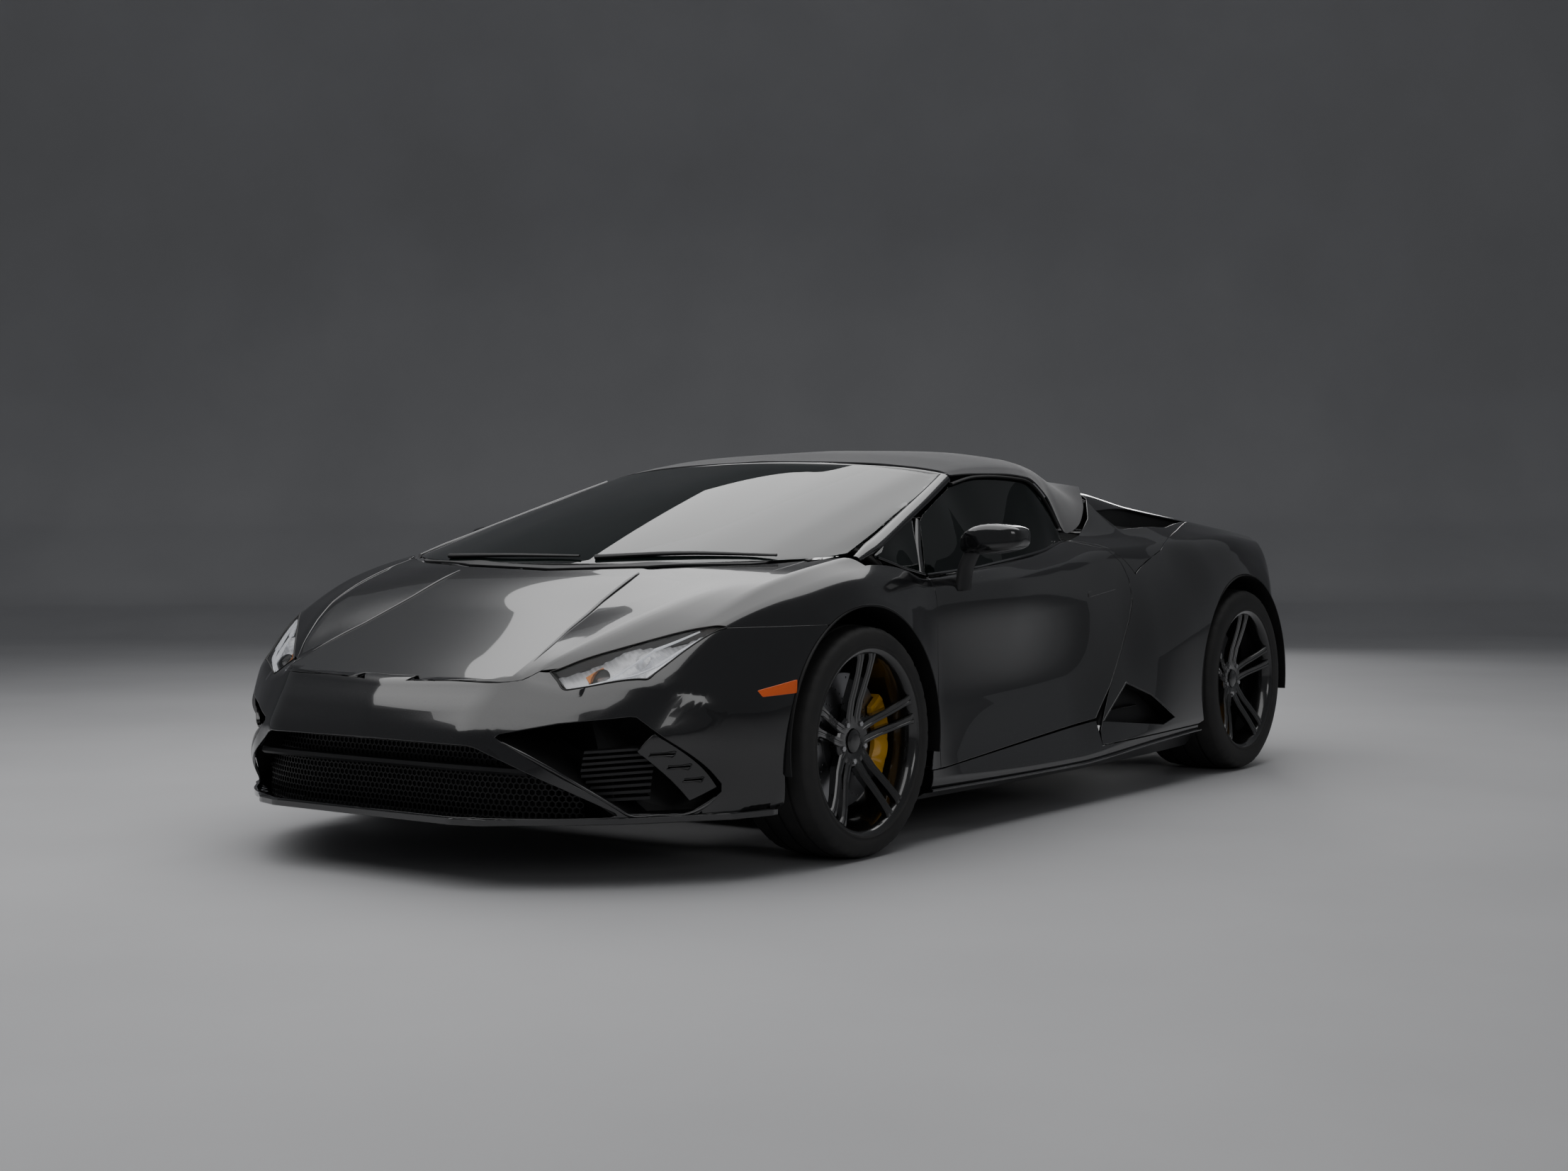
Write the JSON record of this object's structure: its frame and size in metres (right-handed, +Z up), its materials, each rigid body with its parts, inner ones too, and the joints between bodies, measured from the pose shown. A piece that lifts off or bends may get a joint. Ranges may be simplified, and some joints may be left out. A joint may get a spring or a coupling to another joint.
{
  "type": "convertible sports car",
  "caption": "Low mid-engined two-seat sports car with a folding fabric roof, sharp wedge nose, opening doors, hood and engine cover, steered front wheels and turning wheels.",
  "frame": {"origin": "on the ground under the middle of the car's box", "axes": "+Z up, -Y towards the nose, +X towards the car's left side"},
  "size_m": [2.236, 4.5117, 1.2],
  "materials": {
    "paint": "high gloss black clear-coated paint",
    "wheel_paint": "gloss black powder coat",
    "caliper_paint": "gloss yellow enamel",
    "disc_iron": "turned grey iron with drilled holes",
    "tyre": "black rubber",
    "clear": "clear polycarbonate",
    "tinted": "tinted safety glass",
    "lamp": "lamp body with bright reflectors",
    "red_lamp": "red lamp lens",
    "roof_fabric": "dark grey woven roof cloth",
    "trim": "black grained plastic",
    "chassis": "coated aluminium and composite tub",
    "cast": "cast aluminium",
    "hide": "black hide",
    "soft_trim": "soft black dash covering",
    "steel": "dark brushed steel"
  },
  "bodies": {
    "door_left": {"door_left": "paint", "door_window_left": "tinted", "mirror_left": "paint"},
    "steer_left": {"knuckle_front_left": "cast", "caliper_front_left": "caliper_paint"},
    "wheel_front_left": {"tyre_front_left": "tyre", "rim_front_left": "wheel_paint", "disc_front_left": "disc_iron"},
    "wheel_rear_left": {"tyre_rear_left": "tyre", "rim_rear_left": "wheel_paint", "disc_rear_left": "disc_iron"},
    "door_right": {"door_right": "paint", "door_window_right": "tinted", "mirror_right": "paint"},
    "steer_right": {"knuckle_front_right": "cast", "caliper_front_right": "caliper_paint"},
    "wheel_front_right": {"tyre_front_right": "tyre", "rim_front_right": "wheel_paint", "disc_front_right": "disc_iron"},
    "wheel_rear_right": {"tyre_rear_right": "tyre", "rim_rear_right": "wheel_paint", "disc_rear_right": "disc_iron"},
    "hood": {"hood": "paint"},
    "engine_cover": {"engine_cover": "paint"},
    "steering_wheel": {"steering_wheel": "hide"},
    "car": {"air_ducts": "trim", "cowl": "trim", "dashboard": "soft_trim", "drive_shafts": "steel", "engine": "cast", "exhaust_tips": "steel", "floor_tub": "chassis", "frame_rails": "chassis", "front_bumper": "paint", "front_fenders": "paint", "front_grilles": "trim", "front_splitter": "trim", "headlamp_lenses": "clear", "headlamps": "lamp", "quarter_windows": "tinted", "rear_bumper": "paint", "rear_calipers": "caliper_paint", "rear_deck": "paint", "rear_diffuser": "trim", "rear_grille": "trim", "rear_knuckles": "cast", "rear_quarters": "paint", "rear_window": "tinted", "seats": "hide", "side_skirts": "paint", "soft_top": "roof_fabric", "suspension_arms": "cast", "tail_lamps": "red_lamp", "wheel_liners": "trim", "windshield": "tinted", "windshield_frame": "paint", "wipers": "trim"}
  },
  "joints": [
    {"name": "door_left_hinge", "type": "hinge", "parent": "car", "child": "door_left", "pos_m": [0.85, -0.715, 0.5], "axis": [0, 0, 1], "range_deg": [-60, 0]},
    {"name": "door_right_hinge", "type": "hinge", "parent": "car", "child": "door_right", "pos_m": [-0.85, -0.715, 0.5], "axis": [0, 0, 1], "range_deg": [0, 60]},
    {"name": "hood_hinge", "type": "hinge", "parent": "car", "child": "hood", "pos_m": [0, -1.281, 0.808], "axis": [1, 0, 0], "range_deg": [-50, 0]},
    {"name": "engine_cover_hinge", "type": "hinge", "parent": "car", "child": "engine_cover", "pos_m": [0, 0.812, 0.956], "axis": [1, 0, 0], "range_deg": [0, 45]},
    {"name": "steering_turn", "type": "hinge", "parent": "car", "child": "steering_wheel", "pos_m": [0.37, -0.45, 0.7], "axis": [0, 0.9326, 0.361], "range_deg": [-450, 450]},
    {"name": "steer_left", "type": "hinge", "parent": "car", "child": "steer_left", "pos_m": [0.79, -1.235, 0.327], "axis": [0, 0, 1], "range_deg": [-30, 30]},
    {"name": "steer_right", "type": "hinge", "parent": "car", "child": "steer_right", "pos_m": [-0.79, -1.235, 0.327], "axis": [0, 0, 1], "range_deg": [-30, 30]},
    {"name": "wheel_front_left_spin", "type": "hinge", "parent": "steer_left", "child": "wheel_front_left", "pos_m": [0.79, -1.235, 0.327], "axis": [1, 0, 0], "continuous": true},
    {"name": "wheel_front_right_spin", "type": "hinge", "parent": "steer_right", "child": "wheel_front_right", "pos_m": [-0.79, -1.235, 0.327], "axis": [1, 0, 0], "continuous": true},
    {"name": "wheel_rear_left_spin", "type": "hinge", "parent": "car", "child": "wheel_rear_left", "pos_m": [0.81, 1.385, 0.345], "axis": [1, 0, 0], "continuous": true},
    {"name": "wheel_rear_right_spin", "type": "hinge", "parent": "car", "child": "wheel_rear_right", "pos_m": [-0.81, 1.385, 0.345], "axis": [1, 0, 0], "continuous": true}
  ],
  "couplings": [
    {"joint": "steer_left", "follows": "steering_turn", "ratio": 0.066667},
    {"joint": "steer_right", "follows": "steering_turn", "ratio": 0.066667}
  ]
}
